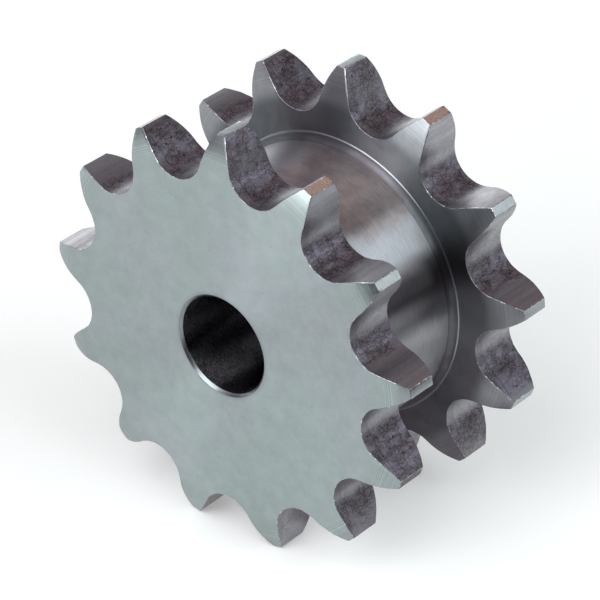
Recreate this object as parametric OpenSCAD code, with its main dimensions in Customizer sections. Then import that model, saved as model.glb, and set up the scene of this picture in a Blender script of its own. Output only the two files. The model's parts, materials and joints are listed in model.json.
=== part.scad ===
// Double single chain sprocket: two toothed rings on one barrel, each for its own roller chain.
// It is turned from one bar of steel, bored, and both rings are cut in one pass, so their teeth line up.
// Frame: the axis lies along Y and the origin is the middle of the bore. Z is up.
// The sprocket stands on two neighbouring teeth of each ring, with a tooth gap straight below the bore.

/* [Chain] */
// Chain pitch, from one roller to the next
pitch = 19.05; // [18.6:0.05:20.6]
// Diameter of the chain's rollers
roller_d = 12.07; // [11.2:0.01:12.6]

/* [Teeth] */
// Number of teeth on each ring
teeth = 13; // [13:1:24]
// How much the radius of a tooth seat exceeds the roller's
seat_play = 0.15; // [0.05:0.01:0.25]
// Angle of the seat arc, which the roller lies in
seat_angle = 124; // [116:1:130]
// Radius of the bulging tooth flanks
flank_r = 24.5; // [22:0.5:32]
// Height of the tooth tips above the pitch circle
tip_rise = 3.6; // [2.6:0.1:4.2]

/* [Rings] */
// Width of each toothed ring
ring_w = 10.7; // [9:0.1:12.5]
// Width over both rings, from end face to end face
overall_w = 44.6; // [38:0.1:60]
// Depth of the rounded relief at the tooth tips, on each side of a ring
relief_depth = 2.2; // [1:0.1:3]
// Height of that relief, from its start to the tooth tips
relief_rise = 8; // [4:0.1:9]

/* [Barrel] */
// Diameter of the barrel between the rings
barrel_d = 56; // [44:0.5:57]
// Radius of the fillet where the barrel meets a ring
fillet_r = 1.2; // [0.6:0.1:1.4]
// Width of the flat collar between the fillet and the fine step in the ring's inner side
collar_w = 0.2; // [0.1:0.05:0.5]
// Height of that fine step, which the side cutter leaves
step_h = 0.2; // [0.1:0.05:0.4]

/* [Bore] */
// Diameter of the bore
bore_d = 20; // [12:0.5:34]
// Width of the chamfer at each end of the bore
bore_chamfer = 0.55; // [0.2:0.05:1.5]

/* [Hidden] */
$fn = 128;
steel = [0.63, 0.66, 0.66];
// Turned sizes
tooth_step = 360 / teeth;
pitch_r = pitch / (2 * sin(tooth_step / 2));
tip_r = pitch_r + tip_rise;
bore_r = bore_d / 2;
barrel_r = barrel_d / 2;
half_w = overall_w / 2;
groove_half = half_w - ring_w;
collar_r = barrel_r + fillet_r + collar_w;
// Room that every cutter runs past the blank
past = 1;
// Tooth seat and flanks, with the gap's middle on the X axis
seat_r = roller_d / 2 + seat_play;
half_seat = seat_angle / 2;
seat_end = [pitch_r - seat_r * cos(half_seat), seat_r * sin(half_seat)];
flank_centre = [pitch_r - (seat_r + flank_r) * cos(half_seat), (seat_r + flank_r) * sin(half_seat)];
// The gap's open mouth lies past the tooth tips, with its corner inside the flank's circle
mouth_x = tip_r + past;
mouth_y = seat_end[1] + (mouth_x - seat_end[0]) * tan(110 - half_seat);
// Radius of the side relief, whose arc starts square to the axis
relief_r = (relief_rise ^ 2 + relief_depth ^ 2) / (2 * relief_depth);

// What the relief takes off one corner of a ring, with the corner at the origin and the ring below it
module relief_cut() {
    difference() {
        translate([-relief_rise, -relief_depth])
            square([relief_rise + past, relief_depth + past]);
        translate([-relief_rise, -relief_r])
            circle(r = relief_r);
    }
}

// The relief on both sides of a ring that spans from one height to the other
module ring_reliefs(low, high) {
    translate([tip_r, high])
        relief_cut();
    translate([tip_r, low])
        mirror([0, 1])
            relief_cut();
}

// Upper half of the groove between the rings, with its filleted corner, collar and fine step
module groove_half_section() {
    floor_top = groove_half - step_h;
    translate([barrel_r, -past])
        square([tip_r + past - barrel_r, floor_top - fillet_r + past]);
    translate([barrel_r + fillet_r, 0])
        square([tip_r + past - barrel_r - fillet_r, floor_top]);
    translate([barrel_r + fillet_r, floor_top - fillet_r])
        circle(r = fillet_r);
    polygon([
        [collar_r, floor_top - fillet_r],
        [collar_r, floor_top],
        [collar_r + step_h, groove_half],
        [tip_r + past, groove_half],
        [tip_r + past, floor_top - fillet_r],
    ]);
}

// Both ends of the bore are broken by a chamfer
module chamfer_section() {
    polygon([
        [bore_r - past, half_w - bore_chamfer - past],
        [bore_r - past, half_w + past],
        [bore_r + bore_chamfer + past, half_w + past],
    ]);
}

// Half section of the turned blank
module blank_section() {
    difference() {
        translate([bore_r, -half_w])
            square([tip_r - bore_r, overall_w]);
        for (side = [0, 1])
            mirror([0, side]) {
                chamfer_section();
                groove_half_section();
                ring_reliefs(groove_half, half_w);
            }
    }
}

// One tooth gap: the roller's seat opens into the two convex flanks
module gap_section() {
    difference() {
        polygon([
            [pitch_r, 0],
            seat_end,
            [mouth_x, mouth_y],
            [mouth_x, -mouth_y],
            [seat_end[0], -seat_end[1]],
        ]);
        for (side = [-1, 1])
            translate([flank_centre[0], side * flank_centre[1]])
                circle(r = flank_r);
    }
    translate([pitch_r, 0])
        circle(r = seat_r);
}

// The turned blank with the gaps cut through both rings at once
module double_sprocket() {
    color(steel)
        rotate([90, 0, 0])
            difference() {
                rotate_extrude()
                    blank_section();
                for (gap = [0 : teeth - 1])
                    rotate(gap * tooth_step - 90)
                        translate([0, 0, -half_w - past])
                            linear_extrude(overall_w + 2 * past)
                                gap_section();
            }
}

double_sprocket();
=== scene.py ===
"""A double single chain sprocket: one turned and hobbed piece of bright steel, on a pale stage."""

import json
import math

import bpy
import numpy as np
from bpy.props import FloatProperty, FloatVectorProperty, IntProperty, PointerProperty
from bpy.types import Operator, Panel, PropertyGroup
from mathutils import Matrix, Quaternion, Vector, noise


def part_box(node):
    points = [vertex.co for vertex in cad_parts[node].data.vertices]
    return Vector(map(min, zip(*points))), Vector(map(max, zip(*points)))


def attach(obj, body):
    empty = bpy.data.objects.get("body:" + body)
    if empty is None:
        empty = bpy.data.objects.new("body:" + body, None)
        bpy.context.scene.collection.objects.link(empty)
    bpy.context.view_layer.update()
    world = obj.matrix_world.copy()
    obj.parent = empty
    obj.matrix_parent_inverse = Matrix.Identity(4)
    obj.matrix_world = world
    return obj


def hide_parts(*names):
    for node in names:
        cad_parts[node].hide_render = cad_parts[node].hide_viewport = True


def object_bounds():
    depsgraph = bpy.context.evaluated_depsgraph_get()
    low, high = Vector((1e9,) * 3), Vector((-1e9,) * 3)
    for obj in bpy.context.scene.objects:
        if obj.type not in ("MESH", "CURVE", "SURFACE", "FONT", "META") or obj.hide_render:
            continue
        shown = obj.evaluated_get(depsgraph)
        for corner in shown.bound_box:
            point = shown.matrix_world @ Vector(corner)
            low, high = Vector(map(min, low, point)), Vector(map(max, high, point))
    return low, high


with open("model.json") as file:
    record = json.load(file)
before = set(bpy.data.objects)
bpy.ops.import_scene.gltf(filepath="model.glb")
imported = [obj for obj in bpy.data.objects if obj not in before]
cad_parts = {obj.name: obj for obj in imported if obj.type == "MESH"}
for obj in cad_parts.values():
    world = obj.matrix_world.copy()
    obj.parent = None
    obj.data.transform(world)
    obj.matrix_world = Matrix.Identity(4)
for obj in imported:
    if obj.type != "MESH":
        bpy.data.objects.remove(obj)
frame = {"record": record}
CAD_BOX = [list(corner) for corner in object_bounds()]

bl_info = {
    "name": "Double single chain sprocket",
    "version": (1, 0, 0),
    "blender": (4, 5, 0),
    "location": "3D View > Sidebar > Sprocket",
    "description": "Builds a double single chain sprocket in bright steel, and the stage for its picture",
    "category": "Object",
}

MM = 0.001
CAD_NODE = "double_sprocket"
LOW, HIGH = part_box(CAD_NODE)
BORE = next(mount for mount in frame["record"]["mounts"] if mount["name"] == "bore")


def length(name, default, description):
    """A size in metres, which Blender shows in the scene's own unit."""
    return FloatProperty(
        name=name, default=default, min=0.0, unit="LENGTH", precision=5, description=description
    )


def colour(name, default, description):
    """A colour, in linear light."""
    return FloatVectorProperty(
        name=name, default=default, size=3, min=0.0, max=1.0, subtype="COLOR", description=description
    )


def angle(name, degrees, description):
    """An angle, given in degrees and kept in radians."""
    return FloatProperty(name=name, default=math.radians(degrees), subtype="ANGLE", description=description)


class SprocketSizes(PropertyGroup):
    """The sizes of the sprocket, as it is turned and hobbed."""

    teeth: IntProperty(name="Teeth", default=13, min=9, max=40, description="Teeth on each ring")
    pitch: length("Pitch", 19.05 * MM, "Chain pitch, from one roller to the next")
    roller_d: length("Roller", 12.07 * MM, "Diameter of the chain's rollers")
    seat_play: length("Seat play", 0.15 * MM, "How much the tooth seat's radius exceeds the roller's")
    seat_angle: angle("Seat angle", 124, "Angle of the seat arc")
    flank_r: length("Flank radius", 24.5 * MM, "Radius of the bulging tooth flanks")
    tip_r: length("Tip radius", HIGH.z, "Radius of the tooth tips")
    ring_w: length("Ring width", 10.7 * MM, "Width of each toothed ring")
    overall_w: length("Overall width", HIGH.y - LOW.y, "Width over both rings")
    relief_depth: length("Relief depth", 2.2 * MM, "Depth of the rounded side relief at the tooth tips")
    relief_rise: length("Relief rise", 8 * MM, "Height of the side relief, from its start to the tips")
    barrel_d: length("Barrel", 56 * MM, "Diameter of the barrel between the rings")
    fillet_r: length("Fillet", 1.2 * MM, "Radius where the barrel meets a ring")
    collar_w: length("Collar", 0.2 * MM, "Flat between the fillet and the fine step")
    step_h: length("Step", 0.2 * MM, "Height of the fine step that the side cutter leaves")
    bore_d: length("Bore", 2 * BORE["dims"]["r_mm"] * MM, "Diameter of the bore")
    bore_chamfer: length("Bore chamfer", 0.55 * MM, "Width of the chamfer at each end of the bore")
    tooth_edge: length("Tooth edge", 0.07 * MM, "How far the tooth edges are broken")
    turned_edge: length("Turned edge", 0.07 * MM, "Rounding of the edges that the lathe left")


class SteelFinish(PropertyGroup):
    """Colours of the steel, by how each surface was cut."""

    face: colour("End faces", (0.318, 0.368, 0.366), "Fine-turned end faces and tooth sides")
    face_tint: colour("End face patches", (0.326, 0.356, 0.373), "Lilac patches on the end faces")
    face_relief: colour("End face reliefs", (0.300, 0.345, 0.343), "Turned reliefs of the end faces")
    # Painted shade: the inner sides and their patches are coloured about half as bright as the end faces of
    # the same steel, for the shade in the groove between the rings.
    inner: colour("Inner sides", (0.149, 0.161, 0.172), "Turned inner sides of the rings")
    inner_tint: colour("Inner side patches", (0.175, 0.156, 0.176), "Purple patches on the inner sides")
    inner_relief: colour("Inner reliefs", (0.277, 0.285, 0.302), "Turned reliefs of the rings' inner sides")
    flank: colour("Upper flanks", (0.335, 0.332, 0.355), "Hobbed tooth flanks, near the tips")
    # Painted shade: on the flanks, the next three tones show only where a flank faces up and right. The first
    # of them also colours the strips along the flanks' rims.
    darker_tone: colour("Worn flanks", (0.182, 0.173, 0.194), "Stained upper flanks and the strips along their rims")
    seat: colour("Tooth seats", (0.182, 0.166, 0.202), "Hobbed tooth seats, dark and crackled")
    seat_brown: colour("Seat patches", (0.170, 0.146, 0.162), "Brown patches in the tooth seats")
    land: colour("Tip lands", (0.31, 0.34, 0.35), "Turned lands on the tooth tips")
    land_tan: colour("Land specks", (0.32, 0.235, 0.200), "Tan specks on the tip lands")
    edge: colour("Edges", (0.42, 0.43, 0.44), "Edges, rubbed bright")
    barrel: colour("Barrel", (0.320, 0.321, 0.342), "Turned barrel between the rings")
    barrel_warm: colour("Barrel stain", (0.262, 0.224, 0.225), "Brown stain on one side of the barrel")
    chamfer: colour("Chamfers", (0.216, 0.232, 0.246), "Turned chamfers, the collar and the fine step")
    # Painted shade: the bore is coloured about a quarter as bright as the other turned steel, for the shade
    # inside the hole.
    bore: colour("Bore", (0.081, 0.076, 0.085), "Bore, reamed and dark with oil")


class StageLook(PropertyGroup):
    """The floor and the camera."""

    floor: colour("Floor", (0.80, 0.782, 0.775), "Colour of the floor")
    camera_azimuth: angle("Azimuth", 40.82, "How far the camera goes to the right")
    camera_elevation: angle("Elevation", 30.98, "How far up the camera goes")
    camera_roll: angle("Roll", 1.54, "How far the camera leans to its right")
    camera_distance: length("Distance", 620.03 * MM, "From the camera to the point it looks at")
    lens: FloatProperty(name="Lens", default=195.85, subtype="DISTANCE_CAMERA", description="Focal length")


# The outline of a toothed ring, with x + iz as one complex number

SEAT_PARTS = 9
FLANK_PARTS = 8
CORNER_PARTS = 3
LAND_PARTS = 2
CORNER_R = 0.16 * MM


def half_pitch(sizes):
    """Half a pitch of the outline, from a gap's middle on the x axis to a tooth's middle.

    Gives the points, their outward normals, and what each stretch after a point is."""
    half_step = math.pi / sizes.teeth
    pitch_r = sizes.pitch / 2 / math.sin(half_step)
    seat_r = sizes.roller_d / 2 + sizes.seat_play
    half_seat = sizes.seat_angle / 2
    # The flank's circle touches the seat's circle where the seat ends
    apart = seat_r + sizes.flank_r
    flank_centre = complex(pitch_r - apart * math.cos(half_seat), apart * math.sin(half_seat))
    # The rounded corner touches the flank's circle and the tip's circle from inside
    reach = abs(flank_centre)
    inner_tip, inner_flank = sizes.tip_r - CORNER_R, sizes.flank_r - CORNER_R
    opening = math.acos((reach**2 + inner_tip**2 - inner_flank**2) / (2 * reach * inner_tip))
    corner_angle = np.angle(flank_centre) - opening
    corner_centre = inner_tip * np.exp(1j * corner_angle)
    flank_end = np.angle(corner_centre - flank_centre)
    points, normals, stretches = [], [], []

    def arc(centre, radius, start, end, parts, outward, stretch):
        """Adds an arc without its last point."""
        for turn in np.linspace(start, end, parts + 1)[:-1]:
            away = np.exp(1j * turn)
            points.append(centre + radius * away)
            normals.append(outward * away)
            stretches.append(stretch)

    arc(pitch_r, seat_r, math.pi, math.pi - half_seat, SEAT_PARTS, -1, "flank")
    arc(flank_centre, sizes.flank_r, -half_seat, flank_end, FLANK_PARTS, 1, "flank")
    arc(corner_centre, CORNER_R, flank_end, corner_angle, CORNER_PARTS, 1, "edge")
    arc(0, sizes.tip_r, corner_angle, half_step, LAND_PARTS, 1, "land")
    points.append(sizes.tip_r * np.exp(1j * half_step))
    normals.append(np.exp(1j * half_step))
    return np.array(points), np.array(normals), stretches


def ring_outline(sizes):
    """The whole outline, with a gap straight down: points, outward normals and what each stretch is."""
    points, normals, stretches = half_pitch(sizes)
    step = 2 * math.pi / sizes.teeth
    mirror = np.exp(1j * step)
    one_pitch = np.concatenate([points, mirror * points[-2:0:-1].conjugate()])
    one_normal = np.concatenate([normals, mirror * normals[-2:0:-1].conjugate()])
    one_stretch = stretches + stretches[::-1]
    turns = [np.exp(1j * (k * step - math.pi / 2)) for k in range(sizes.teeth)]
    outline = np.concatenate([one_pitch * turn for turn in turns])
    outward = np.concatenate([one_normal * turn for turn in turns])
    return outline, outward, one_stretch * sizes.teeth


# The turned profile, as rings of points. Each row is the ring's points in x + iz, its distance from the
# middle of the width, and what the band after it is.

SIDE_PARTS = 10
EDGE_PARTS = 3
FLANK_BANDS = 5
ROOT_MARGIN = 0.4 * MM
LONGEST_ON_ARC = 0.3 * MM
LONGEST_IN_BORE = 4 * MM
LONGEST_ON_FACE = 2.6 * MM
LONGEST_ON_INNER_SIDE = 1.3 * MM
LONGEST_ON_BARREL = 2 * MM

# Broken edges: how long their waves and chips are, in millimetres, and how much of each there is
WAVE_LENGTH = 1.7
WAVE_SHARE = 0.45
CHIP_LENGTH = 1.1
CHIP_SHARE = 8
CHIP_START = 0.25
CHIP_MOST = 0.25
CHIP_SHIFT = Vector((31, 0, 0))
DEEPEST_BREAK = 0.8 * CORNER_R


def rounded_path(corners, roundings):
    """Points along a path of straight lines, with each inner corner rounded off by its own radius."""
    path = [corners[0]]
    for before, corner, after, radius in zip(corners, corners[1:], corners[2:], roundings):
        back, on = (before - corner) / abs(before - corner), (after - corner) / abs(after - corner)
        half_open = abs(np.angle(on / back)) / 2
        centre = corner + (back + on) / abs(back + on) * radius / math.sin(half_open)
        first = corner + back * radius / math.tan(half_open) - centre
        last = corner + on * radius / math.tan(half_open) - centre
        sweep = np.angle(last / first)
        parts = max(2, round(abs(sweep) * radius / LONGEST_ON_ARC))
        path += [centre + first * np.exp(1j * sweep * k / parts) for k in range(parts + 1)]
    return path + [corners[-1]]


def filled(path, longest):
    """The path with its long stretches cut into parts."""
    points = [path[0]]
    for start, end in zip(path, path[1:]):
        parts = max(1, math.ceil(abs(end - start) / longest))
        points += [start + (end - start) * k / parts for k in range(1, parts + 1)]
    return points


def edge_break(sizes, outline, level):
    """How far the tooth edge is broken at each point: a little uneven, with a few small chips."""
    places = [Vector((point.real, level, point.imag)) / MM for point in outline]
    wave = np.array([noise.noise(place / WAVE_LENGTH) for place in places])
    chips = np.array([noise.noise(place / CHIP_LENGTH + CHIP_SHIFT) for place in places])
    chips = np.clip(chips - CHIP_START, 0, CHIP_MOST)
    return np.minimum(sizes.tooth_edge * (1 + WAVE_SHARE * wave + CHIP_SHARE * chips), DEEPEST_BREAK)


def relief_drop(sizes, radius):
    """How deep the rounded side relief is at each radius."""
    relief_r = (sizes.relief_rise**2 + sizes.relief_depth**2) / (2 * sizes.relief_depth)
    past = np.clip(radius - (sizes.tip_r - sizes.relief_rise), 0, None)
    return relief_r - np.sqrt(relief_r**2 - past**2)


def half_rows(sizes, outline, outward, end):
    """The rows from the middle of the bore to the middle of the barrel, on one end (-1 front, 1 rear)."""
    half_w = sizes.overall_w / 2
    groove_half = half_w - sizes.ring_w
    bore_r, barrel_r = sizes.bore_d / 2, sizes.barrel_d / 2
    seat_bottom = sizes.pitch / 2 / math.sin(math.pi / sizes.teeth) - sizes.roller_d / 2 - sizes.seat_play
    root_r = seat_bottom - ROOT_MARGIN
    spokes = outline / abs(outline)
    rows = []

    def circles(path, band):
        """Round rows at radius + i times the distance from the middle, for all but the path's last point."""
        for point in path[:-1]:
            rows.append((spokes * point.real, np.full(len(spokes), point.imag), band))

    def side_rows(break_by, level, sign, shares, band):
        """Rows over a ring's side, between the root circle and the edge of the outline."""
        rim = outline - outward * break_by
        for share in shares:
            points = spokes * root_r * (1 - share) + rim * share
            rows.append((points, level - sign * relief_drop(sizes, abs(points)), band))

    def edge_path(break_by, level, sign):
        """Points and levels of the rows round a broken tooth edge, from the ring's side to the flank."""
        path = []
        for turn in np.linspace(0, math.pi / 2, EDGE_PARTS + 1):
            points = outline - outward * break_by * (1 - math.sin(turn))
            drop = relief_drop(sizes, abs(points)) + break_by * (1 - math.cos(turn))
            path.append((points, level - sign * drop))
        return path

    # The bore, its chamfer and the end face
    chamfer_top = bore_r + sizes.bore_chamfer + 1j * half_w
    chamfer_foot = bore_r + 1j * (half_w - sizes.bore_chamfer)
    face_end = root_r + 1j * half_w
    face = rounded_path([bore_r + 0j, chamfer_foot, chamfer_top, face_end], [sizes.turned_edge] * 2)
    circles(filled(face[:2], LONGEST_IN_BORE), "bore")
    circles(face[1:-1], "chamfer")
    circles(filled(face[-2:], LONGEST_ON_FACE), "face")

    # The teeth, over their outer side, across the flanks and back over their inner side
    shares = np.linspace(0, 1, SIDE_PARTS + 1)
    outer_break = edge_break(sizes, outline, end * half_w)
    inner_break = edge_break(sizes, outline, end * groove_half)
    outer_edge = edge_path(outer_break, half_w, 1)
    inner_edge = edge_path(inner_break, groove_half, -1)
    outer_rim, inner_rim = outer_edge[-1][1], inner_edge[-1][1]
    side_rows(outer_break, half_w, 1, shares[:-1], "face")
    rows += [(*row, "edge") for row in outer_edge[:-1]]
    for share in np.linspace(0, 1, FLANK_BANDS + 1)[:-1]:
        rows.append((outline, outer_rim * (1 - share) + inner_rim * share, "flank"))
    rows += [(*row, "edge") for row in inner_edge[:0:-1]]
    rows.append((*inner_edge[0], "inner"))
    side_rows(inner_break, groove_half, -1, shares[-2:0:-1], "inner")

    # The fine step, the collar, the fillet and the barrel
    wall, floor = 1j * groove_half, 1j * (groove_half - sizes.step_h)
    collar_r = barrel_r + sizes.fillet_r + sizes.collar_w
    step_top, collar, barrel_foot = collar_r + sizes.step_h + wall, collar_r + floor, barrel_r + floor
    step_edges = [sizes.turned_edge, sizes.turned_edge / 2]
    step = rounded_path([root_r + wall, step_top, collar, barrel_foot], step_edges)
    fillet = rounded_path([collar, barrel_foot, barrel_r + 0j], [sizes.fillet_r])
    circles(filled(step[:2], LONGEST_ON_INNER_SIDE), "inner")
    circles(step[1:], "chamfer")
    circles(fillet[1:-1], "inner")
    circles(filled(fillet[-2:], LONGEST_ON_BARREL), "barrel")
    rows.append((spokes * barrel_r, np.zeros(len(spokes)), "barrel"))
    return rows


def sprocket_rows(sizes):
    """All rows, once round the section, and the outline's stretches."""
    outline, outward, stretches = ring_outline(sizes)
    front = half_rows(sizes, outline, outward, -1)
    rear = half_rows(sizes, outline, outward, 1)
    rows = [(points, -level, band) for points, level, band in front]
    # The rear half runs back to the bore, so the band after a row is that of the row before it
    for k in range(len(rear) - 2, 0, -1):
        points, level, _ = rear[k]
        rows.append((points, level, rear[k - 1][2]))
    return rows, stretches


SURFACES = ["face", "inner", "flank", "edge", "land", "barrel", "bore", "chamfer"]


def sprocket_mesh(sizes):
    """The whole sprocket as one closed mesh of quads."""
    rows, stretches = sprocket_rows(sizes)
    corners = np.array([np.column_stack([points.real, level, points.imag]) for points, level, _ in rows])
    row_count, round_count = corners.shape[:2]
    row, turn = np.meshgrid(np.arange(row_count), np.arange(round_count), indexing="ij")
    here, there = row * round_count, (row + 1) % row_count * round_count
    next_turn = (turn + 1) % round_count
    quads = np.stack([here + turn, there + turn, there + next_turn, here + next_turn], axis=-1)
    mesh = bpy.data.meshes.new("sprocket_body")
    mesh.from_pydata(corners.reshape(-1, 3).tolist(), [], quads.reshape(-1, 4).tolist())
    surface = []
    for _, _, band in rows:
        # Across the flanks, the outline says what each stretch is
        surface += [SURFACES.index(stretch if band == "flank" else band) for stretch in stretches]
    mesh.polygons.foreach_set("material_index", surface)
    mesh.shade_smooth()
    mesh.update()
    return mesh


# Materials. Scales are per millimetre, places and depths in millimetres, and tones in linear light.

WHITE = (1.0, 1.0, 1.0)
BLACK = (0.0, 0.0, 0.0)

# Sockets of the mix node, for colours
MIX_SHARE, MIX_FIRST, MIX_SECOND, MIX_RESULT = 0, 6, 7, 2


def feed(tree, socket, value):
    """Gives an input a link, a number or a colour of three parts."""
    if isinstance(value, bpy.types.NodeSocket):
        tree.links.new(value, socket)
    elif socket.type == "RGBA":
        socket.default_value = (*value, 1.0)
    else:
        socket.default_value = value


def add_node(tree, kind, inputs=None, **settings):
    """Adds a node, with its settings and what its inputs get."""
    made = tree.nodes.new(kind)
    for key, value in settings.items():
        setattr(made, key, value)
    for key, value in (inputs or {}).items():
        feed(tree, made.inputs[key], value)
    return made


def new_material(name, inputs):
    """Makes a material round one shader, and gives the material, its node tree and the shader."""
    material = bpy.data.materials.new(name)
    material.use_nodes = True
    tree = material.node_tree
    shader = tree.nodes["Principled BSDF"]
    for key, value in inputs.items():
        feed(tree, shader.inputs[key], value)
    return material, tree, shader


class Finish:
    """One procedural steel, built node by node."""

    def __init__(self, name, roughness):
        inputs = {"Metallic": 1.0, "Roughness": roughness}
        self.material, self.tree, self.shader = new_material(name, inputs)

    def add(self, kind, inputs=None, **settings):
        """Adds a node, with its settings and what its inputs get."""
        return add_node(self.tree, kind, inputs, **settings)

    def math(self, operation, *values):
        """One sum, with numbers or links."""
        return self.add("ShaderNodeMath", dict(enumerate(values)), operation=operation).outputs[0]

    def plus(self, first, second):
        """Two values added."""
        return self.math("ADD", first, second)

    def minus(self, first, second):
        """The first value less the second."""
        return self.math("SUBTRACT", first, second)

    def times(self, first, second):
        """Two values multiplied."""
        return self.math("MULTIPLY", first, second)

    def largest(self, first, *others):
        """The largest of some values."""
        for other in others:
            first = self.math("MAXIMUM", first, other)
        return first

    def off(self, value, level):
        """How far a value lies from a level, to either side."""
        return self.math("ABSOLUTE", self.minus(value, level))

    def swing(self, noisy, reach):
        """A noise round 0.5 as a swing to both sides of nothing."""
        return self.times(self.minus(noisy, 0.5), reach)

    def spread(self, value, low, high, new_low=0.0, new_high=1.0, smooth=True):
        """Moves a value from one range to another, and keeps it inside."""
        made = self.add(
            "ShaderNodeMapRange",
            {"Value": value, "From Min": low, "From Max": high, "To Min": new_low, "To Max": new_high},
            interpolation_type="SMOOTHSTEP" if smooth else "LINEAR",
        )
        return made.outputs["Result"]

    def varied(self, noisy, low, high, smooth=True):
        """Moves a noise, which mostly stays between 0.3 and 0.7, to a range of its own."""
        return self.spread(noisy, 0.3, 0.7, low, high, smooth)

    def place(self):
        """Where a point lies: the point, its radius, its angle and its place along the axis."""
        point = self.add("ShaderNodeTexCoord").outputs["Object"]
        point = self.add("ShaderNodeVectorMath", {0: point, "Scale": 1 / MM}, operation="SCALE").outputs[0]
        parts = self.add("ShaderNodeSeparateXYZ", {"Vector": point}).outputs
        squares = self.plus(self.math("POWER", parts["X"], 2.0), self.math("POWER", parts["Z"], 2.0))
        turn = self.math("ARCTAN2", parts["Z"], parts["X"])
        return point, self.math("SQRT", squares), turn, parts["Y"]

    def facing(self, degrees):
        """How far the surface faces one way round the axis: 1 where it faces that way."""
        way = (math.cos(math.radians(degrees)), 0.0, math.sin(math.radians(degrees)))
        normal = self.add("ShaderNodeTexCoord").outputs["Normal"]
        made = self.add("ShaderNodeVectorMath", {0: normal, 1: way}, operation="DOT_PRODUCT")
        return made.outputs["Value"]

    def stretched(self, point, along, across=1.0):
        """The point with its place along the axis and across it stretched or squeezed."""
        sizes = (across, along, across)
        return self.add("ShaderNodeVectorMath", {0: point, 1: sizes}, operation="MULTIPLY").outputs[0]

    def round_axis(self, turn, along, parts, fineness):
        """A place for marks that run round the axis: slow with the angle, quick the other way."""
        inputs = {"X": self.times(turn, parts), "Y": self.times(along, fineness)}
        return self.add("ShaderNodeCombineXYZ", inputs).outputs[0]

    def cloud(self, point, scale, detail=3.0, roughness=0.55, distortion=0.0):
        """Cloudy noise round 0.5 in three dimensions."""
        inputs = {"Vector": point, "Scale": scale, "Detail": detail, "Roughness": roughness}
        return self.add("ShaderNodeTexNoise", {**inputs, "Distortion": distortion}).outputs[0]

    def grooves(self, along, apart, detail=2.0, roughness=0.6):
        """Turned grooves of random depth round 0.5, across one direction, so far apart."""
        inputs = {"W": along, "Scale": 1 / apart, "Detail": detail, "Roughness": roughness}
        return self.add("ShaderNodeTexNoise", inputs, noise_dimensions="1D").outputs[0]

    def cells(self, point, scale):
        """How far a point lies from the borders of random cells."""
        inputs = {"Vector": point, "Scale": scale}
        return self.add("ShaderNodeTexVoronoi", inputs, feature="DISTANCE_TO_EDGE").outputs["Distance"]

    def scribble(self, point, scale, level, width):
        """Thin wandering lines: 1 on the line, 0 beside it."""
        field = self.cloud(point, scale, detail=4.0, roughness=0.6)
        return self.spread(self.off(field, level), 0.0, width, 1.0, 0.0)

    def blend(self, share, first, second):
        """Mixes two colours."""
        inputs = {MIX_SHARE: share, MIX_FIRST: first, MIX_SECOND: second}
        return self.add("ShaderNodeMix", inputs, data_type="RGBA").outputs[MIX_RESULT]

    def tinted(self, base, share, low, high):
        """A colour that goes from a darker to a lighter shade of itself."""
        return self.blend(share, [part * low for part in base], [part * high for part in base])

    def shaded(self, tone, brightness):
        """A colour made darker or lighter."""
        inputs = {MIX_SHARE: 1.0, MIX_FIRST: tone, MIX_SECOND: brightness}
        made = self.add("ShaderNodeMix", inputs, data_type="RGBA", blend_type="MULTIPLY")
        return made.outputs[MIX_RESULT]

    def mottled(self, tone, noisy, low, high, smooth=False):
        """A colour made darker and lighter by a noise."""
        return self.shaded(tone, self.varied(noisy, low, high, smooth))

    def relief(self, *layers):
        """Stacks bumps: each layer is a height from 0 to 1 and its depth."""
        normal = None
        for height, depth in layers:
            inputs = {"Height": height, "Distance": depth * MM, "Strength": 1.0}
            if normal is not None:
                inputs["Normal"] = normal
            normal = self.add("ShaderNodeBump", inputs).outputs["Normal"]
        feed(self.tree, self.shader.inputs["Normal"], normal)

    def turned(self, amount):
        """Draws the gloss out across turning marks that run round the axis."""
        round_axis = self.add("ShaderNodeTangent", direction_type="RADIAL", axis="Y")
        feed(self.tree, self.shader.inputs["Tangent"], round_axis.outputs[0])
        self.shader.inputs["Anisotropic"].default_value = amount
        self.shader.inputs["Anisotropic Rotation"].default_value = 0.25

    def wear(self, tone, roughness):
        """Joins the colour and the roughness, and gives the material."""
        feed(self.tree, self.shader.inputs["Base Color"], tone)
        feed(self.tree, self.shader.inputs["Roughness"], roughness)
        return self.material


# Which way round the axis each of these marks faces, in degrees, where 0 is right and 90 is up. Flanks that
# face the first two ways are painted darker as shade, and are crackled more; the barrel's brown patch and the
# lands' tan specks face the last two ways.
SHADED_FLANK_ANGLE = 55.0
CRAZED_AND_SHADED_ANGLE = 32.0
BARREL_BROWN_ANGLE = 70.0
LAND_SPECK_ANGLE = 62.0

# Radii between which the look of a ring's side changes
BORE_RUB = (10.5, 11.5)
TOOTH_TONE = (35.0, 38.0)
TOOTH_GLOSS = (36.0, 39.0)
TOOTH_LINES = (36.4, 38.6)
TIP_DARKENING = (40.2, 42.2)

# How far the lathe's tool moved with each turn
TOOL_FEED = 0.43

# Radii between which a flank goes from crackled to smooth, and how far each thing moves them
FLANK_SMOOTH = (36.8, 39.6)
WANDER_MOVES = 4.0
TOOTH_MOVES = 10.0
UPRIGHT_MOVES = 6.0
CRAZING_AND_SHADE_MOVES = 6.0

# Distances to either side of the axis, from where a tooth begins to stand upright to where it does
UPRIGHT = (22.0, 4.0)

# How far from the front rim the strip along a flank fades out, and where its dark line is and how wide
RIM_FADE = (2.9, 2.5)
RIM_LINE_AT = 2.75
RIM_LINE_WIDTH = 0.22

CRACK_TONE = (0.033, 0.026, 0.037)
SPOT_TONE = (0.012, 0.011, 0.012)
BORE_GLOSS_TONE = (0.15, 0.14, 0.155)


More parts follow.
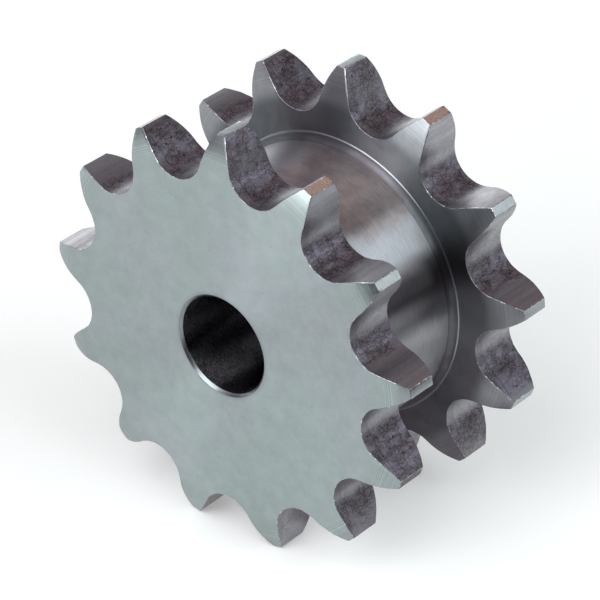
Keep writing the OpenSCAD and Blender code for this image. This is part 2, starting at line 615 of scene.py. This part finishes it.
def turned_face(name, base, tint, tooth, dark, roughness, shine):
    """A fine-turned side of a ring: a matte skin, with clear turning lines on the rounded tooth sides."""
    finish = Finish(name, roughness)
    finish.turned(shine)
    point, radius, _, _ = finish.place()
    broad = finish.cloud(point, 0.035, detail=3.0)
    mottle = finish.cloud(point, 0.3, detail=6.0, roughness=0.7)
    specks = finish.spread(finish.cloud(point, 1.4, detail=1.0), 0.745, 0.79)
    grain = finish.cloud(point, 3.0, detail=2.0)
    fine = finish.grooves(radius, 0.09, detail=2.0)
    ripples = finish.math("SINE", finish.times(radius, 2 * math.pi / TOOL_FEED))
    lines = finish.plus(finish.times(ripples, 0.15), finish.grooves(radius, 0.5, detail=3.0))
    on_tooth = finish.spread(radius, *TOOTH_LINES)
    skin = finish.blend(finish.spread(broad, 0.40, 0.60), base, tint)
    skin = finish.blend(finish.spread(radius, *TOOTH_TONE), skin, tooth)
    skin = finish.mottled(skin, mottle, 0.92, 1.08)
    lined = finish.swing(lines, on_tooth)
    skin = finish.shaded(skin, finish.spread(lined, -0.5, 0.5, 0.80, 1.20, smooth=False))
    rubbed = finish.spread(radius, *BORE_RUB, 0.30, 0.0)
    skin = finish.blend(finish.largest(finish.times(specks, 0.45), rubbed), skin, dark)
    darker_tips = finish.times(finish.spread(radius, *TIP_DARKENING), finish.spread(broad, 0.42, 0.56))
    skin = finish.blend(finish.times(darker_tips, 0.35), skin, dark)
    rough = finish.varied(finish.cloud(point, 0.5, detail=4.0), roughness * 0.9, roughness * 1.1)
    rough = finish.times(rough, finish.spread(radius, *TOOTH_GLOSS, 1.0, 0.8))
    finish.relief((grain, 0.005), (fine, 0.0012), (finish.times(lines, on_tooth), 0.015))
    return finish.wear(skin, rough)


def smooth_share(finish, point, radius, wander, crazed_and_shaded):
    """Where a flank is smooth: 1 by the tips, 0 in the seat, with an uneven border between them.

    The border lies further out near the top and the bottom of the ring, and where the flank faces right and a
    little up. There the dark crackled seat reaches further out, and its darkness is painted shade."""
    sideways = finish.add("ShaderNodeSeparateXYZ", {"Vector": point}).outputs["X"]
    upright = finish.spread(finish.math("ABSOLUTE", sideways), *UPRIGHT)
    by_tooth = finish.cloud(finish.stretched(point, 0.6), 0.045, detail=0.0)
    height = finish.plus(radius, finish.swing(wander, WANDER_MOVES))
    height = finish.plus(height, finish.swing(by_tooth, TOOTH_MOVES))
    height = finish.minus(height, finish.times(upright, UPRIGHT_MOVES))
    height = finish.minus(height, finish.times(crazed_and_shaded, CRAZING_AND_SHADE_MOVES))
    return finish.spread(height, *FLANK_SMOOTH)


def crackle(finish, point):
    """Dark crazing, from 0 to 1: large cells, faint small ones, and lines that wander both ways."""
    bend = finish.add("ShaderNodeTexNoise", {"Vector": point, "Scale": 1.1, "Detail": 4.0}).outputs["Color"]
    bend = finish.add("ShaderNodeVectorMath", {0: bend, "Scale": 1.1}, operation="SCALE").outputs[0]
    bent = finish.add("ShaderNodeVectorMath", {0: bend, 1: point}, operation="ADD").outputs[0]
    large = finish.spread(finish.cells(finish.stretched(bent, 0.6), 0.66), 0.0, 0.075, 0.85, 0.0)
    small = finish.spread(finish.cells(finish.stretched(bent, 0.8), 1.25), 0.0, 0.10, 0.25, 0.0)
    across = finish.scribble(finish.stretched(point, 0.35), 1.3, 0.50, 0.036)
    along = finish.scribble(finish.stretched(point, 1.0, 0.6), 1.6, 0.47, 0.034)
    cracks = finish.times(finish.largest(large, small), 0.95)
    return finish.largest(cracks, finish.times(across, 0.88), finish.times(along, 0.82))


def rim_strip(finish, sizes, level, wander):
    """The strip along each flank's front rim, and the dark line where it ends."""
    half_w = sizes.overall_w / 2 / MM
    groove_half = half_w - sizes.ring_w / MM
    from_end = finish.math("ABSOLUTE", finish.plus(level, half_w))
    from_rim = finish.math("MINIMUM", from_end, finish.off(level, groove_half))
    across = finish.plus(from_rim, finish.times(wander, 1.2))
    line = finish.spread(finish.off(across, RIM_LINE_AT), 0.0, RIM_LINE_WIDTH, 0.7, 0.0)
    return finish.spread(across, *RIM_FADE), line


def hobbed_flank(sizes, light, darker_tone, seat, brown):
    """A hobbed tooth flank: smooth by the tips and crackled in the seat. Where it faces up and right it is
    painted darker as shade, in the seat and by the tips, and it is crackled more.
    """
    finish = Finish("hobbed_flank", 0.42)
    point, radius, _, level = finish.place()
    # Painted shade: this mask darkens the flanks that face up and right, and it also brings more crackle and
    # dark spots there.
    facing_up_right = finish.spread(finish.facing(SHADED_FLANK_ANGLE), 0.62, 0.92)
    # Painted shade, with crackle: where flanks face right and a little up, the dark crackled seat reaches
    # further towards the tips.
    crazed_and_shaded = finish.spread(finish.facing(CRAZED_AND_SHADED_ANGLE), 0.86, 0.93)
    wander = finish.cloud(finish.stretched(point, 0.25), 0.45, detail=3.0)
    bands = finish.cloud(finish.stretched(point, 0.04), 0.7, detail=2.0)
    smears = finish.cloud(finish.stretched(point, 0.4), 0.9, detail=4.0, distortion=0.6)
    scratches = finish.cloud(finish.stretched(point, 0.06), 7.0, detail=2.0)
    patches = finish.cloud(point, 0.3, detail=3.0)
    grain = finish.cloud(point, 4.0, detail=1.0)
    smooth_part = smooth_share(finish, point, radius, wander, crazed_and_shaded)
    strip, strip_line = rim_strip(finish, sizes, level, wander)
    where = finish.spread(patches, 0.34, 0.54, 0.4, 1.0)
    where = finish.times(where, finish.spread(facing_up_right, 0.0, 1.0, 0.3, 1.0))
    marks = finish.times(crackle(finish, point), where)
    marks = finish.largest(marks, finish.times(strip_line, facing_up_right))
    spots = finish.times(finish.spread(finish.cloud(point, 1.2, detail=2.0), 0.68, 0.73), facing_up_right)
    glints = finish.scribble(point, 1.1, 0.56, 0.010)
    glints = finish.times(glints, finish.spread(finish.cloud(point, 0.22), 0.56, 0.66))
    low = finish.blend(finish.spread(patches, 0.42, 0.60), seat, brown)
    low = finish.mottled(low, smears, 0.62, 1.26)
    low = finish.mottled(low, patches, 1.10, 0.84)
    # Painted shade: seats that don't face up and right take the light flank tone.
    low = finish.blend(finish.minus(1.0, facing_up_right), low, light)
    low = finish.blend(finish.times(strip, 0.4), low, darker_tone)
    low = finish.blend(marks, low, CRACK_TONE)
    low = finish.blend(spots, low, SPOT_TONE)
    low = finish.blend(finish.times(glints, 0.5), low, light)
    # Painted shade: upper flanks that face up and right take the darker tone.
    upper = finish.blend(facing_up_right, light, darker_tone)
    upper = finish.mottled(upper, bands, 0.82, 1.16)
    upper = finish.mottled(upper, scratches, 0.95, 1.05)
    tone = finish.mottled(finish.blend(smooth_part, low, upper), grain, 0.88, 1.12)
    calm = finish.spread(smooth_part, 0.0, 1.0, 1.0, 0.25)
    smeared, marked = finish.times(smears, calm), finish.times(marks, calm)
    finish.relief((bands, 0.05), (smeared, 0.03), (marked, -0.012), (scratches, 0.003))
    return finish.wear(tone, finish.varied(smears, 0.36, 0.48))


def rubbed_edge(base, dark):
    """A broken edge, rubbed bright in places and dark in others, with painted glints as small bright flecks.
    """
    finish = Finish("rubbed_edge", 0.3)
    point, _, _, _ = finish.place()
    bites = finish.cloud(point, 0.9, detail=4.0)
    # Painted highlight: small flecks at twice the edge's brightness stand in for glints.
    painted_glints = finish.spread(finish.cloud(point, 1.5, detail=2.0), 0.60, 0.66)
    tone = finish.blend(finish.spread(bites, 0.40, 0.66), dark, base)
    tone = finish.blend(painted_glints, tone, [min(1.0, 2.1 * part) for part in base])
    finish.relief((finish.cloud(point, 2.5, detail=3.0), 0.02))
    return finish.wear(tone, finish.varied(bites, 0.42, 0.26))


def tip_land(base, darker_tone):
    """The turned land on a tooth tip, with tan specks where it faces up and a little right."""
    finish = Finish("tip_land", 0.24)
    finish.turned(0.3)
    point, _, _, level = finish.place()
    lines = finish.grooves(level, 0.35)
    mottle = finish.cloud(point, 0.7, detail=4.0)
    specks = finish.cloud(point, 2.4, detail=3.0, roughness=0.7)
    facing_up_right = finish.spread(finish.facing(LAND_SPECK_ANGLE), 0.93, 0.98)
    share = finish.times(facing_up_right, finish.spread(specks, 0.40, 0.62, 1.0, 0.25))
    tone = finish.mottled(finish.blend(share, base, darker_tone), mottle, 0.85, 1.12)
    finish.relief((lines, 0.006), (finish.cloud(point, 1.2), 0.003))
    return finish.wear(tone, finish.varied(mottle, 0.15, 0.25))


def turned_barrel(base, warm):
    """The barrel, with turning marks round it and a brown patch on the side that faces up and a little right.
    """
    finish = Finish("turned_barrel", 0.30)
    finish.turned(1.0)
    point, _, turn, level = finish.place()
    broad = finish.grooves(level, 1.1, detail=2.0)
    lines = finish.grooves(level, 0.17, detail=3.0, roughness=0.75)
    short = finish.cloud(finish.round_axis(turn, level, 7.0, 7.0), 1.0, detail=4.0, roughness=0.7)
    cloudy = finish.cloud(point, 0.12, detail=4.0)
    reach = finish.plus(finish.facing(BARREL_BROWN_ANGLE), finish.times(cloudy, 0.2))
    patch = finish.tinted(warm, finish.spread(finish.cloud(point, 0.3, detail=4.0), 0.35, 0.65), 0.86, 1.10)
    skin = finish.blend(finish.spread(reach, 1.0, 1.07), base, patch)
    skin = finish.shaded(skin, finish.spread(lines, 0.25, 0.75, 0.82, 1.18, smooth=False))
    skin = finish.mottled(skin, short, 0.76, 1.24)
    finish.relief((broad, 0.012), (lines, 0.004), (short, 0.003))
    return finish.wear(skin, finish.varied(short, 0.33, 0.39))


def reamed_bore(base):
    """The reamed bore, with painted shade: its colour is far darker than the other turned steel."""
    finish = Finish("reamed_bore", 0.30)
    # Painted shade: the bore's gloss is tinted dark too.
    feed(finish.tree, finish.shader.inputs["Specular Tint"], BORE_GLOSS_TONE)
    finish.turned(1.0)
    point, _, turn, level = finish.place()
    lines = finish.grooves(level, 0.22, detail=3.0)
    short = finish.cloud(finish.round_axis(turn, level, 9.0, 5.0), 1.0, detail=3.0, roughness=0.7)
    specks = finish.cloud(point, 2.6, detail=2.0)
    patches = finish.cloud(point, 0.25, detail=3.0)
    tone = finish.mottled(finish.tinted(base, patches, 0.8, 1.2), lines, 0.8, 1.2, smooth=True)
    tone = finish.mottled(tone, short, 0.45, 1.55, smooth=True)
    tone = finish.mottled(tone, specks, 0.6, 1.4, smooth=True)
    finish.relief((lines, 0.012))
    return finish.wear(tone, finish.varied(patches, 0.27, 0.33))


def turned_chamfer(base):
    """The chamfers at the mouths of the bore, and the collar and the fine step by the barrel."""
    finish = Finish("turned_chamfer", 0.3)
    finish.turned(0.5)
    point, radius, _, _ = finish.place()
    lines = finish.grooves(radius, 0.1)
    finish.relief((lines, 0.006))
    tone = finish.tinted(base, finish.cloud(point, 0.8), 0.85, 1.12)
    return finish.wear(tone, finish.varied(lines, 0.26, 0.38))


def steel_finishes(sizes, steel):
    """Every finish of the sprocket, in the order of its surfaces."""
    end_face = (steel.face, steel.face_tint, steel.face_relief, steel.seat)
    # The inner sides' darker colours are painted shade in the groove.
    inner_side = (steel.inner, steel.inner_tint, steel.inner_relief, steel.seat)
    made = {
        "face": turned_face("turned_face", *end_face, roughness=0.38, shine=0.7),
        "inner": turned_face("turned_inner_side", *inner_side, roughness=0.42, shine=1.0),
        "flank": hobbed_flank(sizes, steel.flank, steel.darker_tone, steel.seat, steel.seat_brown),
        "edge": rubbed_edge(steel.edge, steel.seat),
        "land": tip_land(steel.land, steel.land_tan),
        "barrel": turned_barrel(steel.barrel, steel.barrel_warm),
        "bore": reamed_bore(steel.bore),
        "chamfer": turned_chamfer(steel.chamfer),
    }
    return [made[surface] for surface in SURFACES]


def put_up(scene, name, data):
    """Puts a mesh, a lamp or the camera into the scene."""
    made = bpy.data.objects.new(name, data)
    scene.collection.objects.link(made)
    return made


class OBJECT_OT_sprocket_body(Operator):
    """Make the sprocket, with its finishes, in place of the plain solid"""

    bl_idname = "object.sprocket_body"
    bl_label = "Sprocket"

    def execute(self, context):
        sizes = context.scene.sprocket_sizes
        body = put_up(context.scene, "sprocket_body", sprocket_mesh(sizes))
        for material in steel_finishes(sizes, context.scene.sprocket_finish):
            body.data.materials.append(material)
        shading = body.modifiers.new("even_shading", "WEIGHTED_NORMAL")
        shading.mode = "FACE_AREA"
        shading.weight = 100
        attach(body, "root")
        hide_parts(CAD_NODE)
        return {"FINISHED"}


# The stage. Azimuth 0 is the object's front and 90 degrees its right side.

AIM = Vector((0.37, -0.02, -0.43)) * MM
SENSOR_WIDTH = 36
NEAREST_SEEN = 0.05
FLOOR_LEVEL = CAD_BOX[0][2]
MAT_LEVEL = FLOOR_LEVEL + 0.1 * MM
FLOOR_HALF = 3.0

# How much the white backdrop lights the object
BACKDROP_LIGHT = 0.15

# Distances from the object between which the floor fades to white, and how much it glows there
FLOOR_FADE = (0.12, 0.9)
FLOOR_GLOW = (0.275, 0.97)

LAMP_DISTANCE = 1.2
COOL_WHITE = (0.965, 1.01, 1.025)

# Each lamp's name, azimuth and elevation in degrees, width and height in metres, glow and tint.
# The glow is how bright the lamp looks, where white paper is 1.
LAMPS = (
    ("key_lamp", -8, 26, 0.68, 0.66, 3.2, COOL_WHITE),
    ("top_lamp", 1, 52, 0.98, 0.90, 3.1, COOL_WHITE),
    ("right_lamp", 95, 41, 0.98, 0.73, 3.3, (0.90, 1.02, 1.04)),
    ("left_lamp", -118, 14, 2.3, 0.58, 1.08, COOL_WHITE),
    ("edge_lamp", 137, 20, 0.50, 0.52, 1.55, COOL_WHITE),
)

# Each card's name, first and last azimuth, first and last elevation in degrees, distance in metres and tone
CARD_PARTS = 8
CARDS = (
    ("warm_card", (154, 195), (40, 61), 1.5, (1.12, 0.90, 0.82)),
    ("right_low_card", (2, 118), (-6, 20), 0.42, (0.038, 0.026, 0.034)),
    ("right_front_card", (2, 62), (20, 34), 1.6, (0.014, 0.008, 0.014)),
    ("right_back_card", (114, 136), (20, 66), 1.6, (0.15, 0.135, 0.155)),
    ("back_card", (124, 200), (0, 70), 1.6, (0.03, 0.022, 0.03)),
    ("left_back_card", (-160, -100), (30, 66), 1.6, (0.46, 0.43, 0.46)),
    ("left_front_card", (-83, -19), (0, 34), 1.6, (0.24, 0.21, 0.245)),
    ("left_top_card", (-100, -28), (34, 66), 1.6, (0.98, 0.92, 0.99)),
    ("front_low_card", (-19, 2), (0, 10), 1.6, (0.014, 0.008, 0.014)),
    ("top_card", (0, 360), (66, 89), 1.6, (0.22, 0.205, 0.22)),
)

# Each mat's name, two opposite corners in metres and tone
MATS = (
    ("mat_right", (0.12, -0.38), (0.42, 0.10), (0.14, 0.13, 0.145)),
    # Painted shadow: a grey mat under the sprocket, which only the steel's gloss shows, darkens the floor it
    # reflects there.
    ("painted_shadow_mat", (-0.05, -0.0115), (0.05, 0.0115), (0.32, 0.29, 0.31)),
    ("mat_back", (0.34, 0.28), (2.6, 2.4), (0.14, 0.13, 0.145)),
)


def away_from(azimuth, elevation):
    """The direction from the object to a place round it."""
    level = math.cos(elevation)
    return Vector((math.sin(azimuth) * level, -math.cos(azimuth) * level, math.sin(elevation)))


def look_against(thing, back, lean=0.0):
    """Turns a lamp or the camera to look against a direction, leaning to its right."""
    thing.rotation_mode = "QUATERNION"
    thing.rotation_quaternion = (-back).to_track_quat("-Z", "Y") @ Quaternion((0, 0, 1), -lean)


def make_camera(scene, look):
    """The camera of the picture."""
    back = away_from(look.camera_azimuth, look.camera_elevation)
    camera = put_up(scene, "camera", bpy.data.cameras.new("camera"))
    camera.data.lens = look.lens
    camera.data.sensor_width = SENSOR_WIDTH
    camera.data.clip_start = NEAREST_SEEN
    camera.location = AIM + back * look.camera_distance
    look_against(camera, back, look.camera_roll)
    scene.camera = camera


def make_lamp(scene, name, azimuth, elevation, width, height, glow, tint):
    """A softbox that faces the object."""
    back = away_from(math.radians(azimuth), math.radians(elevation))
    data = bpy.data.lights.new(name, "AREA")
    data.shape = "RECTANGLE"
    data.size = width
    data.size_y = height
    data.energy = glow * math.pi * width * height
    data.color = tint
    lamp = put_up(scene, name, data)
    lamp.location = back * LAMP_DISTANCE
    look_against(lamp, back)


def bent_sheet(name, azimuths, elevations, distance):
    """A sheet that stands bent round the object, from one angle to another."""
    turns = np.radians(np.linspace(*azimuths, CARD_PARTS + 1))
    rises = np.radians(np.linspace(*elevations, CARD_PARTS + 1))
    corners = [away_from(turn, rise) * distance for rise in rises for turn in turns]
    across = CARD_PARTS + 1
    quads = [
        (low + k, low + k + 1, low + k + 1 + across, low + k + across)
        for low in range(0, CARD_PARTS * across, across)
        for k in range(CARD_PARTS)
    ]
    mesh = bpy.data.meshes.new(name)
    mesh.from_pydata(corners, [], quads)
    return mesh


def flat_sheet(name, near, far, level):
    """A level sheet, from one corner to the opposite one."""
    (left, front), (right, back) = near, far
    corners = [(left, front, level), (right, front, level), (right, back, level), (left, back, level)]
    mesh = bpy.data.meshes.new(name)
    mesh.from_pydata(corners, [], [(0, 1, 2, 3)])
    return mesh


def make_card(scene, mesh, tone):
    """Paints a sheet as a card that only the steel's gloss shows, and puts it up."""
    inputs = {"Base Color": BLACK, "Roughness": 1.0, "Specular IOR Level": 0.0, "Emission Strength": 1.0}
    paint, _, _ = new_material(mesh.name, {**inputs, "Emission Color": tone})
    mesh.materials.append(paint)
    card = put_up(scene, mesh.name, mesh)
    card.visible_camera = False
    card.visible_diffuse = False
    card.visible_shadow = False


def seen_rays(tree):
    """1 for rays from the camera and for those that metal or glass throws back, 0 for the rest."""
    path = add_node(tree, "ShaderNodeLightPath").outputs
    seen = path["Is Camera Ray"]
    for other in ("Is Glossy Ray", "Is Transmission Ray"):
        seen = add_node(tree, "ShaderNodeMath", {0: seen, 1: path[other]}, operation="MAXIMUM").outputs[0]
    return seen


def make_world(scene):
    """A white backdrop, with soft pale light from all round."""
    world = bpy.data.worlds.new("backdrop")
    world.use_nodes = True
    scene.world = world
    tree = world.node_tree
    background = tree.nodes["Background"]
    strength = add_node(tree, "ShaderNodeMapRange", {"Value": seen_rays(tree), "To Min": BACKDROP_LIGHT})
    feed(tree, background.inputs["Color"], WHITE)
    feed(tree, background.inputs["Strength"], strength.outputs[0])


def make_floor(scene, look):
    """The pale floor that the sprocket stands on, which fades to white away from it."""
    mesh = flat_sheet("floor", (-FLOOR_HALF, -FLOOR_HALF), (FLOOR_HALF, FLOOR_HALF), FLOOR_LEVEL)
    floor = put_up(scene, "floor", mesh)
    inputs = {"Base Color": look.floor, "Roughness": 0.9, "Emission Color": WHITE}
    paint, tree, shader = new_material("floor", inputs)
    place = add_node(tree, "ShaderNodeTexCoord").outputs["Object"]
    away = add_node(tree, "ShaderNodeVectorMath", {0: place}, operation="LENGTH").outputs["Value"]
    (near, far), (low, high) = FLOOR_FADE, FLOOR_GLOW
    fade = add_node(
        tree,
        "ShaderNodeMapRange",
        {"Value": away, "From Min": near, "From Max": far, "To Min": low, "To Max": high},
        interpolation_type="SMOOTHSTEP",
    )
    glow = add_node(tree, "ShaderNodeMath", {0: seen_rays(tree), 1: fade.outputs[0]}, operation="MULTIPLY")
    feed(tree, shader.inputs["Emission Strength"], glow.outputs[0])
    mesh.materials.append(paint)


class SCENE_OT_sprocket_stage(Operator):
    """Make the pale floor, the backdrop, the lamps and the camera"""

    bl_idname = "scene.sprocket_stage"
    bl_label = "Stage"

    def execute(self, context):
        scene = context.scene
        look = scene.sprocket_stage
        scene.view_settings.view_transform = "Standard"
        make_camera(scene, look)
        make_world(scene)
        make_floor(scene, look)
        for lamp in LAMPS:
            make_lamp(scene, *lamp)
        for name, azimuths, elevations, distance, tone in CARDS:
            make_card(scene, bent_sheet(name, azimuths, elevations, distance), tone)
        for name, near, far, tone in MATS:
            make_card(scene, flat_sheet(name, near, far, MAT_LEVEL), tone)
        return {"FINISHED"}


class VIEW3D_PT_sprocket(Panel):
    """Sizes, finishes and stage of the sprocket"""

    bl_idname = "VIEW3D_PT_sprocket"
    bl_label = "Chain sprocket"
    bl_space_type = "VIEW_3D"
    bl_region_type = "UI"
    bl_category = "Sprocket"

    def draw(self, context):
        layout = self.layout
        for settings, operator in (
            ("sprocket_sizes", OBJECT_OT_sprocket_body),
            ("sprocket_finish", None),
            ("sprocket_stage", SCENE_OT_sprocket_stage),
        ):
            box = layout.box()
            group = getattr(context.scene, settings)
            for name in group.__annotations__:
                box.prop(group, name)
            if operator:
                box.operator(operator.bl_idname)


CLASSES = (
    SprocketSizes,
    SteelFinish,
    StageLook,
    OBJECT_OT_sprocket_body,
    SCENE_OT_sprocket_stage,
    VIEW3D_PT_sprocket,
)


def register():
    for kind in CLASSES:
        bpy.utils.register_class(kind)
    bpy.types.Scene.sprocket_sizes = PointerProperty(type=SprocketSizes)
    bpy.types.Scene.sprocket_finish = PointerProperty(type=SteelFinish)
    bpy.types.Scene.sprocket_stage = PointerProperty(type=StageLook)


def unregister():
    del bpy.types.Scene.sprocket_stage
    del bpy.types.Scene.sprocket_finish
    del bpy.types.Scene.sprocket_sizes
    for kind in reversed(CLASSES):
        bpy.utils.unregister_class(kind)


def main():
    """Registers the add-on, and builds the sprocket and its stage."""
    register()
    bpy.ops.object.sprocket_body()
    bpy.ops.scene.sprocket_stage()
    bpy.context.view_layer.update()


if __name__ == "__main__":
    main()
